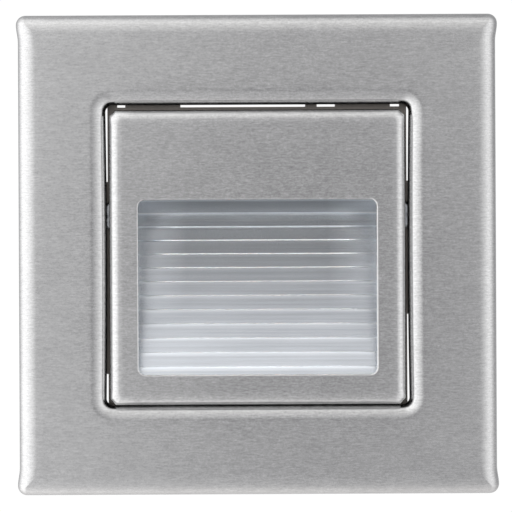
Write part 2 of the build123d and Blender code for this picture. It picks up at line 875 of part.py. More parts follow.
def make_insulation_sheet():
    """The thin sheet that keeps the live parts away from the reflector's back."""
    half = chamber_half - chamber_ledge - chamber_gap
    depth = insulation_thickness / math.cos(math.radians(reflector_slant))
    top_z = reflector_top_z - insulation_drop
    profile = slanted_band(back_shift, back_shift + depth, insulation_low_z, top_z)
    return bar(profile, both(half))


def chamber_shell():
    """The cheeks, foot and ceiling round the reflector, with a ledge behind its ends."""
    rear = back_shift + chamber_ledge_depth
    side = Polygon(
        (chamber_front_y, chamber_foot_z),
        (chamber_front_y, ceiling_top_z),
        (nose_y(ceiling_top_z) + rear, ceiling_top_z),
        (nose_y(chamber_foot_z) + rear, chamber_foot_z),
        align=None,
    )
    mouth_y = chamber_front_y - cut_past
    foot_z = reflector_foot[1] - chamber_gap
    hollow = Polygon(
        (mouth_y, foot_z),
        (mouth_y, ceiling_z),
        (nose_y(ceiling_z) + back_shift, ceiling_z),
        (nose_y(reflector_foot[1]) + back_shift, foot_z),
        align=None,
    )
    body = bar(side, both(chamber_outer)) - bar(hollow, both(chamber_half))
    open_back = slanted_band(back_shift - cut_past, rear + cut_past, reflector_foot[1], ceiling_z)
    return body - bar(open_back, both(chamber_half - chamber_ledge))


def make_light_chamber():
    """The moulding round the reflector, with the box for the LED strip on top."""
    neck_y = ring_front_y - chamber_play
    pot_radius = housing_radius - housing_wall - chamber_play
    room = prism(Circle(pot_radius), (neck_y, beyond)) + block(both(beyond), (-beyond, neck_y), both(beyond))
    body = chamber_shell() & room
    body += block(both(chamber_outer), (chamber_front_y, led_box_back_y), (ceiling_top_z, led_board_z))
    body -= block(both(led_room_half), led_room_y, (ceiling_top_z, led_board_z + cut_past))
    slot_y = (led_room_y[0] + lens_ledge, led_room_y[1] - lens_ledge)
    body -= block(both(led_room_half - lens_ledge), slot_y, (ceiling_z - cut_past, led_board_z))
    for place in (-led_screw_x, led_screw_x):
        body -= led_rod(place, (led_board_z - led_screw_length, led_board_z + cut_past), led_screw_radius)
    return body


def led_rod(x, z_span, radius):
    """A round rod along Z through the LED strip's middle line."""
    return upright(Pos(x, led_middle_y) * Circle(radius), z_span)


# ---- LED strip ----
def make_led_lens():
    room_y = (led_room_y[0] + lens_fit, led_room_y[1] - lens_fit)
    return block(both(led_room_half - lens_fit), room_y, (ceiling_top_z, ceiling_top_z + lens_thickness))


def make_led_board():
    board = block(both(led_board_end), (chamber_front_y, led_box_back_y), (led_board_z, led_top_z))
    for place in (-led_screw_x, led_screw_x):
        through = (led_board_z - cut_past, led_top_z + cut_past)
        board -= led_rod(place, through, led_screw_radius + led_screw_play)
    return board


def make_leds():
    """The LED packages under the strip, facing down at the reflector."""
    y_span = both(led_size / 2, led_middle_y)
    z_span = (led_board_z - led_height, led_board_z)
    leds = [block(both(led_size / 2, x), y_span, z_span) for x in row(led_count, led_spacing)]
    return Compound(children=leds)


def strip_reach():
    """How far the pad and the spreader cover the strip, clear of its screws and wires."""
    left = -(ring_screw_top[0] - screw_head_radius - ring_clear)
    right = wire_x[0] - wire_radius - 2 * ring_clear
    return (left, right)


def make_thermal_pad():
    y_span = (chamber_front_y + pad_inset, led_box_back_y - pad_inset)
    return block(strip_reach(), y_span, (led_top_z, spreader_z))


def make_heat_spreader():
    """The bent aluminium plate that carries the strip's heat to the steel ring."""
    flat_z = (spreader_z, spreader_z + spreader_sheet)
    leg_x = both(spreader_leg_half)
    leg_y = (ring_front_y - spreader_sheet, ring_front_y)
    plate = block(strip_reach(), (chamber_front_y, led_box_back_y), flat_z)
    plate += block(leg_x, (led_middle_y, ring_front_y), flat_z)
    plate += block(leg_x, leg_y, (spreader_z, spreader_top_z))
    for side in (-1, 1):
        plate -= rod((side * rivet_x, rivet_z), (leg_y[0] - cut_past, 0), rivet_radius)
    return plate


def make_spreader_rivets():
    """Two rivets through the spreader's leg and the ring."""
    rivets = []
    seat = ring_front_y - spreader_sheet
    for side in (-1, 1):
        center = (side * rivet_x, rivet_z)
        head = rod(center, (seat - rivet_head_height, seat), rivet_head_radius)
        tail = rod(center, (0, rivet_head_height), rivet_tail_radius)
        rivets.append(fillet_front(head, rivet_head_round) + rod(center, (seat, 0), rivet_radius) + tail)
    return Compound(children=rivets)


def make_led_board_screws():
    """The two screws that hold the strip down on its box."""
    screws = []
    for place in (-led_screw_x, led_screw_x):
        shank = led_rod(place, (led_top_z - led_screw_length, led_top_z), led_screw_radius)
        head = led_rod(place, (led_top_z, led_top_z + led_screw_head_height), led_screw_head_radius)
        rim = head.faces().sort_by(Axis.Z)[-1].edges()
        screws.append(shank + fillet(rim, led_screw_head_height * head_round_share))
    return Compound(children=screws)


# ---- Wires ----
def make_led_wire(x):
    """One wire, up from the strip and straight back over the light chamber."""
    points = [(x, wire_y, led_top_z), (x, wire_y, wire_rise_z), (x, wire_end_y, wire_rise_z)]
    path = FilletPolyline(*points, radius=wire_bend)
    return sweep(Plane(points[0], z_dir=(0, 0, 1)) * Circle(wire_radius), path=path)


def plug_block(y_span, shrink):
    """A box round both wires."""
    half_x = header_size[0] / 2 - shrink
    half_z = header_size[1] / 2 - shrink
    return block(both(half_x, sum(wire_x) / 2), y_span, both(half_z, wire_rise_z))


def make_led_plug():
    body = plug_block((wire_end_y, board_y - header_depth), plug_shrink)
    return chamfer(body.edges().filter_by(Axis.Y), plug_chamfer)


def make_led_header():
    return plug_block((board_y - header_depth, board_y), 0)


# ---- Driver board ----
def on_board(place, size, span):
    """A box in front of the board, between two distances from it."""
    x, z = place
    near, far = span
    return block(both(size[0] / 2, x), (board_y - far, board_y - near), both(size[1] / 2, z))


def round_on_board(place, radius, span):
    """A round piece in front of the board, between two distances from it."""
    near, far = span
    return rod(place, (board_y - far, board_y - near), radius)


def make_driver_board():
    """The board, cut straight at the housing's flats and round the rear bosses."""
    top = housing_top_z - housing_wall - board_top_gap
    clip = Rectangle(2 * board_half_width, top + board_radius)
    outline = Circle(board_radius) & Pos(0, (top - board_radius) / 2) * clip
    for place in rear_screw_places():
        outline -= Pos(*place) * Circle(board_screw_clear)
    return prism(outline, (board_y, board_back_y))


def standing_can(place, radius, height):
    """A round can that stands on the front of the board."""
    return fillet_front(round_on_board(place, radius, (0, height)), radius * can_round_share)


def make_input_capacitor():
    """The tall can, with the groove rolled into it near the board."""
    can = standing_can(input_can_place, input_can_radius, input_can_height)
    groove = round_on_board(input_can_place, input_can_radius, can_groove_span)
    core = round_on_board(input_can_place, input_can_radius - can_groove_depth, can_groove_span)
    return can - (groove - core)


def make_output_capacitor():
    return standing_can(output_can_place, output_can_radius, output_can_height)


def make_choke_core():
    """The ferrite bobbin, wider at both ends."""
    near, far = choke_neck_span
    core = round_on_board(choke_place, choke_neck_radius, choke_neck_span)
    core += round_on_board(choke_place, choke_flange_radius, (0, near))
    core += round_on_board(choke_place, choke_flange_radius, (far, choke_height))
    return core


def make_choke_winding():
    winding = round_on_board(choke_place, choke_winding_radius, choke_neck_span)
    return winding - round_on_board(choke_place, choke_neck_radius, choke_neck_span)


def make_film_capacitor():
    return fillet_front(on_board(film_place, film_size, (0, film_height)), film_round)


def make_bridge_rectifier():
    body = on_board(bridge_place, bridge_size, (0, bridge_height))
    return chamfer(body.faces().sort_by(Axis.Y)[0].edges(), bridge_chamfer)


def lead_pair(place, lead_x, height):
    """Two straight leads from the board, either side of a place."""
    x, z = place
    size = (2 * lead_half, 2 * lead_half)
    leads = [on_board((x + side * lead_x, z), size, (0, height)) for side in (-1, 1)]
    return leads[0] + leads[1]


def make_fuse_resistor():
    """A round resistor that lies above the board on its two bent leads."""
    x, z = resistor_place
    lift = resistor_lift + resistor_radius
    body = Pos(x, board_y - lift, z) * Rot(0, 90, 0) * Cylinder(resistor_radius, resistor_length)
    body = fillet(body.edges().filter_by(GeomType.CIRCLE), resistor_round)
    span = (lift - lead_half, lift + lead_half)
    body += on_board(resistor_place, (2 * resistor_lead_reach, 2 * lead_half), span)
    return body + lead_pair(resistor_place, resistor_lead_reach, lift + lead_half)


def make_varistor():
    """A round disc that stands on edge on its two leads."""
    x, z = varistor_place
    lift = varistor_lift + varistor_radius
    body = Pos(x, board_y - lift, z) * Cylinder(varistor_radius, varistor_thickness)
    body = fillet(body.edges().filter_by(GeomType.CIRCLE), varistor_round)
    return body + lead_pair(varistor_place, varistor_lead_x, lift)


def make_driver_chip():
    """A small chip with its legs on both sides."""
    x, z = chip_place
    chip = on_board(chip_place, chip_size, chip_span)
    for step in row(chip_leg_count, chip_leg_pitch):
        legs = (2 * chip_leg_reach, chip_leg_width)
        chip += on_board((x, z + step), legs, (chip_span[0], chip_leg_height))
        for side in (-1, 1):
            foot_x = x + side * (chip_leg_reach - chip_leg_width / 2)
            foot = (chip_leg_width, chip_leg_width)
            chip += on_board((foot_x, z + step), foot, (0, chip_leg_height))
    return chip


# ---- Terminal block ----
def terminal_rooms():
    """The span in X of the room on each side of the divider."""
    inner = terminal_divider / 2
    outer = terminal_half_width - terminal_wall
    return [(-outer, -inner), (inner, outer)]


def make_terminal_body():
    """The terminal block, with wire entries and a shaft for each release button."""
    body = block(both(terminal_half_width), (board_back_y, terminal_back_y), terminal_z)
    body = chamfer(body.faces().sort_by(Axis.Y)[-1].edges(), terminal_chamfer)
    room_back = board_back_y + terminal_room_depth
    room_z = (terminal_z[0] + terminal_wall, terminal_z[1] - terminal_wall)
    for room_x in terminal_rooms():
        body -= block(room_x, (board_back_y, room_back), room_z)
    out_y = (room_back - cut_past, terminal_back_y + cut_past)
    half_x = button_size[0] / 2 + button_play
    half_z = button_size[1] / 2 + button_play
    for side in (-1, 1):
        body -= block(both(half_x, side * button_x), out_y, both(half_z, button_z))
        for x in entry_x:
            body -= rod((side * x, entry_z), out_y, entry_radius)
    return body


def make_terminal_contacts():
    """One angled copper bar behind each pair of wire entries."""
    contacts = []
    low = terminal_z[0] + terminal_wall
    for left, right in terminal_rooms():
        x_span = (left + contact_gap, right - contact_gap)
        contact = block(x_span, (board_back_y, board_back_y + contact_sheet), (low, low + contact_height))
        contact += block(x_span, (board_back_y, board_back_y + contact_depth), (low, low + contact_sheet))
        contacts.append(contact)
    return Compound(children=contacts)


def make_terminal_springs():
    """One folded leaf spring behind each wire entry, under the release button."""
    corner_y = board_back_y + contact_sheet
    corner_z = terminal_z[0] + terminal_wall
    profile = strip([(corner_y + y, corner_z + z) for y, z in spring_leaf], spring_sheet)
    centers = [side * x for side in (-1, 1) for x in entry_x]
    springs = [bar(profile, both(spring_width / 2, x)) for x in centers]
    return Compound(children=springs)


def make_release_button(side):
    """A button that is pressed towards the room to open its springs."""
    back = terminal_back_y + button_proud
    x_span = both(button_size[0] / 2, side * button_x)
    z_span = both(button_size[1] / 2, button_z)
    body = block(x_span, (back - button_length, back), z_span)
    return chamfer(body.faces().sort_by(Axis.Y)[-1].edges(), button_chamfer)


def make_catch_springs():
    """The leaf springs in the housing that hold the posts of the centre cover."""
    springs = []
    leaf_z = post_top_z + post_thickness / 2 + catch_gap
    foot_y = (catch_span[0], catch_span[0] + catch_sheet)
    for side in (-1, 1):
        x_span = both(post_width / 2, side * post_top_x)
        leaf = block(x_span, foot_y, (leaf_z, housing_top_z - housing_wall))
        springs.append(leaf + block(x_span, catch_span, (leaf_z, leaf_z + catch_sheet)))
    return Compound(children=springs)


# ---- Build every piece ----
def main():
    save(make_frame_cover(), "frame_cover")
    save(make_frame_carrier(), "frame_carrier")
    save(make_frame_seal(), "frame_seal")
    save(make_center_cover(), "center_cover")
    save(make_center_carrier(), "center_carrier")
    save(make_support_ring(), "support_ring")
    save(make_ring_screws(), "ring_screws")
    save(make_frame_clips(), "frame_clips")
    save(make_claw_pins(), "claw_pins")
    for side, name in ((-1, "left"), (1, "right")):
        save(make_claw(side), f"claw_{name}")
        save(make_claw_screw(side), f"claw_screw_{name}")
        save(make_claw_nut(side), f"claw_nut_{name}")
        save(make_release_button(side), f"release_button_{name}")
    save(make_housing(), "housing")
    save(make_rear_cover(), "rear_cover")
    save(make_rear_cover_screws(), "rear_cover_screws")
    save(make_reflector(), "reflector")
    save(make_light_chamber(), "light_chamber")
    save(make_insulation_sheet(), "insulation_sheet")
    save(make_led_lens(), "led_lens")
    save(make_led_board(), "led_board")
    save(make_leds(), "leds")
    save(make_thermal_pad(), "thermal_pad")
    save(make_heat_spreader(), "heat_spreader")
    save(make_spreader_rivets(), "spreader_rivets")
    save(make_led_board_screws(), "led_board_screws")
    save(make_led_wire(wire_x[0]), "led_wire_positive")
    save(make_led_wire(wire_x[1]), "led_wire_negative")
    save(make_led_plug(), "led_plug")
    save(make_led_header(), "led_header")
    save(make_driver_board(), "driver_board")
    save(make_input_capacitor(), "input_capacitor")
    save(make_output_capacitor(), "output_capacitor")
    save(make_choke_core(), "choke_core")
    save(make_choke_winding(), "choke_winding")
    save(make_film_capacitor(), "film_capacitor")
    save(make_bridge_rectifier(), "bridge_rectifier")
    save(make_fuse_resistor(), "fuse_resistor")
    save(make_varistor(), "varistor")
    save(make_driver_chip(), "driver_chip")
    save(make_terminal_body(), "terminal_body")
    save(make_terminal_contacts(), "terminal_contacts")
    save(make_terminal_springs(), "terminal_springs")
    save(make_catch_springs(), "catch_springs")


main()
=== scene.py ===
"""A flush-mounted step light: satin steel frame and centre cover, ribbed reflector, wall-box housing.

X runs to the right, Y into the wall and Z up, in metres. The wall's surface is y = 0.
"""

import json
import math

import bmesh
import bpy
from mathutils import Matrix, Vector


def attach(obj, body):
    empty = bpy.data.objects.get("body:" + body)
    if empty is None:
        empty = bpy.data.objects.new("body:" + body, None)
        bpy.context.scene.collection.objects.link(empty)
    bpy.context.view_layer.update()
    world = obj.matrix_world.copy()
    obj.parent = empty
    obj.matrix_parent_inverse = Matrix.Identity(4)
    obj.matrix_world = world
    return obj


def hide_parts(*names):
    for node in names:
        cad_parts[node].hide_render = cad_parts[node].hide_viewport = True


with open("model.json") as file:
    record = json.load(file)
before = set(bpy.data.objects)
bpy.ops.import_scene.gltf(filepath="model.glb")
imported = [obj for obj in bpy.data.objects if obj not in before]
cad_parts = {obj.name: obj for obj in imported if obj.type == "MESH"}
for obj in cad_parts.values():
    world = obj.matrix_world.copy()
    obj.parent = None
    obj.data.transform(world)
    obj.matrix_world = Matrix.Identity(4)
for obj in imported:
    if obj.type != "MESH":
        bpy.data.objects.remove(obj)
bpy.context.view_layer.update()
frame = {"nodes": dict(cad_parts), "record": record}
MM = 0.001

# ---- Sizes in millimetres. The opening is a little tighter than in the CAD model ----
SHEET = 0.8
FRAME_WIDTH = 86.3
FRAME_HEIGHT = 86.0
FRAME_PULL = 0.35  # how far the sides step in between the corners
FRAME_EAR = 3.2  # height over which they do, below each corner
FRAME_CORNER = 1.7
FRAME_ROLL = 3.3  # across the roll, which runs out gently into the face
FRAME_FRONT = -9.0
FRAME_BACK = -0.3
OPENING_WIDTH = 54.2
OPENING_HEIGHT = 53.7
OPENING_Z = -0.05
OPENING_CORNER = 1.2
OPENING_ROLL = 2.95
OPENING_BACK = -4.0
OPENING_LEAN = 0.25  # how far the flange leans out towards its back edge
OPENING_BOW = 0.2  # how far the side flanges bow towards the cover
COVER_WIDTH = 52.9
COVER_HEIGHT = 52.7
COVER_Z = -0.5
COVER_FRONT = -9.8
COVER_BACK = -4.8
COVER_ROLL = 1.75
COVER_CUT = 1.0  # the corner cut, along each side
COVER_CORNER = 0.9  # of the face, inside the folds
WINDOW_WIDTH = 42.4
WINDOW_HEIGHT = 31.1
WINDOW_Z = -5.8
WINDOW_CORNER = 1.2
EDGE = 0.12  # rounding of the sheet's cut edges
WINDOW_EDGE = 0.28  # rounding of the window's edge
BACK_MARGIN = 1.0  # from the frame's back edge to the next loop of its skirt
FACE_MARGIN = 1.2  # from the frame's rolls to the nearest loops in its face
COVER_MARGIN = 0.8  # from the cover's roll to the nearest loop in its face
WINDOW_MARGINS = (1.6, 0.6, WINDOW_EDGE + 0.03)  # of the loops round the window
REFLECTOR_WIDTH = 44.4
REFLECTOR_SLANT = 27.5  # degrees from upright
REFLECTOR_FOOT = (-7.0, -22.63)
RIB_COUNT = 13
RIB_PITCH = 2.54
RIB_LEAN = 6.0  # degrees that a riser faces up
RIB_BROW_HEIGHT = 1.0
RIB_BROW_PAST = 2.0  # degrees that a brow rolls on past the tilt that shows the lens from the front
LENS = (-4.4, 12.1)  # the point that the brows are aimed at, as (y, z)
REFLECTOR_BACK = 2.394  # from the foot's edge to the back face

# ---- How finely the loops are divided, per quarter, and the forms across them ----
TOP_STEPS = 8
CORNER_STEPS = 8
EAR_STEPS = 8
SIDE_STEPS = 8
ROLL_STEPS = 16
ROLL_FINENESS = 4  # tilts worked out for each loop of a roll
WINDOW_EDGE_STEPS = 4
BROW_STEPS = 14
OPEN_ROWS = 6  # rows of the centre cover's corners that stay open
WELD = 1e-6  # metres within which points become one

# How a tilt runs out: 1 is a plain arc, and more flattens it towards the face or the riser
FRAME_EASE = 1.2
OPENING_EASE = 1.7
COVER_EASE = 0.85
BROW_EASE = 2.5


# ---- Loops ----
def steps(count):
    """Even shares from 0 to 1, both ends included."""
    return [index / count for index in range(count + 1)]


def smooth(t):
    """Eases a share in and out."""
    return t * t * (3 - 2 * t)


def whole_loop(quarter, middle_z, y):
    """A closed loop from its upper right quarter, which runs from the top to the right."""
    right = quarter + [(x, -z) for x, z in reversed(quarter[:-1])]
    left = [(-x, z) for x, z in reversed(right[1:-1])]
    return [Vector((x, y, z + middle_z)) * MM for x, z in right + left]


def corner_arc(half_w, half_h, radius):
    """Points round a corner, without the first."""
    points = []
    middle_x, middle_z = half_w - radius, half_h - radius
    for t in steps(CORNER_STEPS)[1:]:
        angle = math.radians(90 * (1 - t))
        points.append((middle_x + radius * math.cos(angle), middle_z + radius * math.sin(angle)))
    return points


def eared_loop(inset, y):
    """The frame's outline, whose sides step in between the corners."""
    half_w = FRAME_WIDTH / 2 - inset
    half_h = FRAME_HEIGHT / 2 - inset
    radius = max(FRAME_CORNER - inset, 0.01)
    shoulder = half_h - radius
    quarter = [((half_w - radius) * t, half_h) for t in steps(TOP_STEPS)]
    quarter += corner_arc(half_w, half_h, radius)
    quarter += [(half_w - FRAME_PULL * smooth(t), shoulder - FRAME_EAR * t) for t in steps(EAR_STEPS)[1:]]
    low = shoulder - FRAME_EAR
    quarter += [(half_w - FRAME_PULL, low * (1 - t)) for t in steps(SIDE_STEPS)[1:]]
    return whole_loop(quarter, 0.0, y)


def opening_loop(grow, y):
    """The frame's opening, grown by a distance. Its sides bow towards the cover."""
    half_w = OPENING_WIDTH / 2 + grow
    half_h = OPENING_HEIGHT / 2 + grow
    radius = OPENING_CORNER + grow
    bow = OPENING_BOW * max(0.0, 1 - grow / OPENING_ROLL)
    quarter = [((half_w - radius) * t, half_h) for t in steps(TOP_STEPS)]
    quarter += corner_arc(half_w, half_h, radius)
    shoulder = half_h - radius
    for t in steps(EAR_STEPS + SIDE_STEPS)[1:]:
        z = shoulder * (1 - t)
        quarter.append((half_w - bow * (1 - (z / shoulder) ** 2), z))
    return whole_loop(quarter, OPENING_Z, y)


def cover_loop(inset, y):
    """The centre cover's outline: corners cut off outside, rounded on the face."""
    half_w = COVER_WIDTH / 2 - inset
    half_h = COVER_HEIGHT / 2 - inset
    share = min(1.0, inset / COVER_ROLL)
    cut = COVER_CUT + (COVER_CORNER - COVER_CUT) * share
    quarter = [((half_w - cut) * t, half_h) for t in steps(TOP_STEPS)]
    arc = corner_arc(half_w, half_h, cut)
    for t, (round_x, round_z) in zip(steps(CORNER_STEPS)[1:], arc):
        flat_x, flat_z = half_w - cut * (1 - t), half_h - cut * t
        quarter.append((flat_x + (round_x - flat_x) * share, flat_z + (round_z - flat_z) * share))
    quarter += [(half_w, (half_h - cut) * (1 - t)) for t in steps(EAR_STEPS + SIDE_STEPS)[1:]]
    return whole_loop(quarter, COVER_Z, y)


def window_loop(grow, y):
    """The window's outline, grown by a distance."""
    half_w = WINDOW_WIDTH / 2 + grow
    half_h = WINDOW_HEIGHT / 2 + grow
    radius = WINDOW_CORNER + grow
    quarter = [((half_w - radius) * t, half_h) for t in steps(TOP_STEPS)]
    quarter += corner_arc(half_w, half_h, radius)
    quarter += [(half_w, (half_h - radius) * (1 - t)) for t in steps(EAR_STEPS + SIDE_STEPS)[1:]]
    return whole_loop(quarter, WINDOW_Z, y)


def roll_profile(reach, ease, inner):
    """Distances from the side and from the front along a roll that is reach wide on its outer face.

    The first point is upright, the last one lies in the face.
    """
    tilts = [math.radians(90) * (1 - t) ** ease for t in steps(ROLL_STEPS * ROLL_FINENESS)]
    across, behind = [0.0], [0.0]
    for first, second in zip(tilts, tilts[1:]):
        middle = (first + second) / 2
        across.append(across[-1] + math.cos(middle))
        behind.append(behind[-1] + math.sin(middle))
    scale = reach / across[-1]
    gap = SHEET if inner else 0.0
    depth = behind[-1]
    return [
        (scale * across[index] + gap * math.sin(tilts[index]),
         scale * (depth - behind[index]) + gap * math.cos(tilts[index]))
        for index in range(0, len(tilts), ROLL_FINENESS)
    ]


# ---- Meshes ----
def finish_mesh(name, bm, sharp_degrees=40):
    """Turns a bmesh into an object with smooth faces and sharp corners."""
    bmesh.ops.remove_doubles(bm, verts=bm.verts, dist=WELD)
    bmesh.ops.recalc_face_normals(bm, faces=bm.faces)
    mesh = bpy.data.meshes.new(name)
    bm.to_mesh(mesh)
    bm.free()
    mesh.shade_smooth()
    mesh.set_sharp_from_angle(angle=math.radians(sharp_degrees))
    piece = bpy.data.objects.new(name, mesh)
    bpy.context.collection.objects.link(piece)
    return piece


def sheet_piece(name, outer, inner, open_rows=0, open_columns=()):
    """A piece of sheet metal from matching loops of its outer and inner face.

    The first open_rows rows have no faces in the open columns, which leaves slots from the first loop on.
    """
    bm = bmesh.new()
    layers = [[[bm.verts.new(point) for point in loop] for loop in layer] for layer in (outer, inner)]
    count = len(outer[0])
    rows = len(outer) - 1

    def face(*corners):
        bm.faces.new(corners)

    for column in range(count):
        after = (column + 1) % count
        start = open_rows if column in open_columns else 0
        for layer in layers:
            for row in range(start, rows):
                face(layer[row][column], layer[row][after], layer[row + 1][after], layer[row + 1][column])
        out, back = layers
        face(out[start][column], out[start][after], back[start][after], back[start][column])
        face(out[rows][column], out[rows][after], back[rows][after], back[rows][column])
        before = (column - 1) % count
        if (column in open_columns) != (before in open_columns):
            for row in range(open_rows):
                face(out[row][column], out[row + 1][column], back[row + 1][column], back[row][column])
    return finish_mesh(name, bm)


def build_frame_cover():
    """The drawn steel frame: skirt, outer roll, face, opening roll and flange."""
    layers = []
    front = FRAME_FRONT
    for inner in (False, True):
        gap = SHEET if inner else 0.0
        turn = -EDGE if inner else EDGE
        layer = [eared_loop(gap + turn, FRAME_BACK), eared_loop(gap, FRAME_BACK - EDGE)]
        layer.append(eared_loop(gap, FRAME_BACK - BACK_MARGIN))
        rim = roll_profile(FRAME_ROLL, FRAME_EASE, inner)
        layer += [eared_loop(across, front + behind) for across, behind in rim]
        layer.append(eared_loop(FRAME_ROLL + FACE_MARGIN, front + gap))
        layer.append(opening_loop(OPENING_ROLL + FACE_MARGIN, front + gap))
        mouth = roll_profile(OPENING_ROLL, OPENING_EASE, inner)
        layer += [opening_loop(across, front + behind) for across, behind in reversed(mouth)]
        flange = gap if inner else OPENING_LEAN
        layer.append(opening_loop(flange, OPENING_BACK - EDGE))
        layer.append(opening_loop(flange + turn, OPENING_BACK))
        layers.append(layer)
    return sheet_piece("steel_frame", *layers)


def build_center_cover():
    """The folded centre cover: four folds, open between them at the corners, and the window."""
    layers = []
    front = COVER_FRONT
    for inner in (False, True):
        gap = SHEET if inner else 0.0
        turn = -EDGE if inner else EDGE
        layer = [cover_loop(gap + turn, COVER_BACK), cover_loop(gap, COVER_BACK - EDGE)]
        rim = roll_profile(COVER_ROLL, COVER_EASE, inner)
        layer += [cover_loop(across, front + behind) for across, behind in rim]
        layer.append(cover_loop(COVER_ROLL + COVER_MARGIN, front + gap))
        layer += [window_loop(grow, front + gap) for grow in WINDOW_MARGINS]
        for t in steps(WINDOW_EDGE_STEPS):
            angle = math.radians(90 * t)
            sink = WINDOW_EDGE * (1 - math.cos(angle)) * (-1 if inner else 1)
            layer.append(window_loop(WINDOW_EDGE * (1 - math.sin(angle)), front + gap + sink))
        layers.append(layer)
    return sheet_piece("steel_cover", *layers, OPEN_ROWS, corner_columns())


def corner_columns():
    """The columns of a loop that lie in its four cut corners."""
    half = 2 * (TOP_STEPS + CORNER_STEPS + EAR_STEPS + SIDE_STEPS)
    first = list(range(TOP_STEPS, TOP_STEPS + CORNER_STEPS))
    right = first + [half - 1 - column for column in first]
    return set(right + [2 * half - 1 - column for column in right])


def rib_front():
    """The ribbed front of the reflector from the foot up, as (y, z).

    Each rib has a level tread, a riser that faces up a little and a brow that is aimed at the lens.
    """
    advance = RIB_PITCH * math.tan(math.radians(REFLECTOR_SLANT))
    drop = RIB_BROW_HEIGHT / BROW_STEPS
    riser = RIB_PITCH - RIB_BROW_HEIGHT
    lens_y, lens_z = LENS
    y, z = REFLECTOR_FOOT
    front = [(y, z)]
    for _ in range(RIB_COUNT):
        y, z = y + advance, z + RIB_PITCH
        brow = math.degrees(math.atan2(lens_z - z, y - lens_y)) / 2 + RIB_BROW_PAST
        rib = [(y, z)]
        for index in range(BROW_STEPS):
            share = 1 - (index + 0.5) / BROW_STEPS
            tilt = math.radians(RIB_LEAN + (brow - RIB_LEAN) * share ** BROW_EASE)
            last_y, last_z = rib[-1]
            rib.append((last_y - drop * math.tan(tilt), last_z - drop))
        rib.append((rib[-1][0] - riser * math.tan(math.radians(RIB_LEAN)), z - RIB_PITCH))
        front += reversed(rib)
    return front


def build_reflector():
    """The extruded reflector, with a rounded brow on each rib."""
    front = rib_front()
    slope = math.tan(math.radians(REFLECTOR_SLANT))
    foot_y, foot_z = REFLECTOR_FOOT
    back = [(foot_y + (z - foot_z) * slope + REFLECTOR_BACK, z) for z in (front[-1][1], foot_z)]
    outline = front + back
    bm = bmesh.new()
    half = REFLECTOR_WIDTH / 2
    rows = [
        [bm.verts.new(Vector((x, y, z)) * MM) for y, z in outline]
        for x in (-half, -half / 3, half / 3, half)
    ]
    count = len(outline)
    for row, after in zip(rows, rows[1:]):
        for index in range(count):
            turn = (index + 1) % count
            bm.faces.new((row[index], row[turn], after[turn], after[index]))
    for row in (rows[0], rows[-1]):
        bm.faces.new(row)
    return finish_mesh("ribbed_reflector", bm, 30)


# ---- Materials ----
def shader(name):
    """A new material with its nodes and its Principled shader."""
    mat = bpy.data.materials.new(name)
    mat.use_nodes = True
    return mat, mat.node_tree, mat.node_tree.nodes["Principled BSDF"]


def object_coordinates(tree, stretch):
    """Object coordinates, scaled along each axis."""
    place = tree.nodes.new("ShaderNodeTexCoord")
    mapping = tree.nodes.new("ShaderNodeMapping")
    mapping.inputs["Scale"].default_value = stretch
    tree.links.new(place.outputs["Object"], mapping.inputs["Vector"])
    return mapping.outputs["Vector"]


def noise(tree, stretch, detail=4.0, roughness=0.55):
    """Noise from 0 to 1, with a scale in cycles per metre along each axis."""
    node = tree.nodes.new("ShaderNodeTexNoise")
    node.inputs["Scale"].default_value = 1.0
    node.inputs["Detail"].default_value = detail
    node.inputs["Roughness"].default_value = roughness
    tree.links.new(object_coordinates(tree, stretch), node.inputs["Vector"])
    return node.outputs["Fac"]


def feed(tree, socket, value):
    """Links a socket to another one, or sets it to a number or colour."""
    if isinstance(value, bpy.types.NodeSocket):
        tree.links.new(value, socket)
    else:
        socket.default_value = value


def math_node(tree, operation, first, second=0.0):
    """One operation on sockets or plain numbers. Some operations leave the second one out."""
    node = tree.nodes.new("ShaderNodeMath")
    node.operation = operation
    feed(tree, node.inputs[0], first)
    feed(tree, node.inputs[1], second)
    return node.outputs[0]


def scaled(tree, color, amount):
    """A colour times a number."""
    node = tree.nodes.new("ShaderNodeVectorMath")
    node.operation = "SCALE"
    feed(tree, node.inputs[0], color)
    feed(tree, node.inputs["Scale"], amount)
    return node.outputs[0]


def blend(tree, first, second, share=0.5):
    """A mix of two noises, with the second one's share of it."""
    node = tree.nodes.new("ShaderNodeMix")
    node.data_type = "FLOAT"
    node.inputs["Factor"].default_value = share
    tree.links.new(first, node.inputs[2])
    tree.links.new(second, node.inputs[3])
    return node.outputs[0]


def spread(tree, value, low, high, floor=0.3, ceiling=0.7, kind="LINEAR"):
    """Runs from low to high as a value runs from floor to ceiling."""
    node = tree.nodes.new("ShaderNodeMapRange")
    node.interpolation_type = kind
    for name, number in (("From Min", floor), ("From Max", ceiling), ("To Min", low), ("To Max", high)):
        node.inputs[name].default_value = number
    tree.links.new(value, node.inputs["Value"])
    return node.outputs["Result"]


def between(tree, value, first, second):
    """A colour that runs from first to second with a noise."""
    node = tree.nodes.new("ShaderNodeMix")
    node.data_type = "RGBA"
    node.inputs[6].default_value = (*first, 1)
    node.inputs[7].default_value = (*second, 1)
    tree.links.new(spread(tree, value, 0.0, 1.0), node.inputs["Factor"])
    return node.outputs[2]


def relief(tree, bsdf, value, height):
    """Bump from noise, with its height in metres."""
    node = tree.nodes.new("ShaderNodeBump")
    node.inputs["Strength"].default_value = 1.0
    node.inputs["Distance"].default_value = height
    tree.links.new(value, node.inputs["Height"])
    tree.links.new(node.outputs["Normal"], bsdf.inputs["Normal"])


def shaded(color, factor):
    """A colour made darker or lighter, with no channel above 1."""
    return tuple(min(1.0, channel * factor) for channel in color)


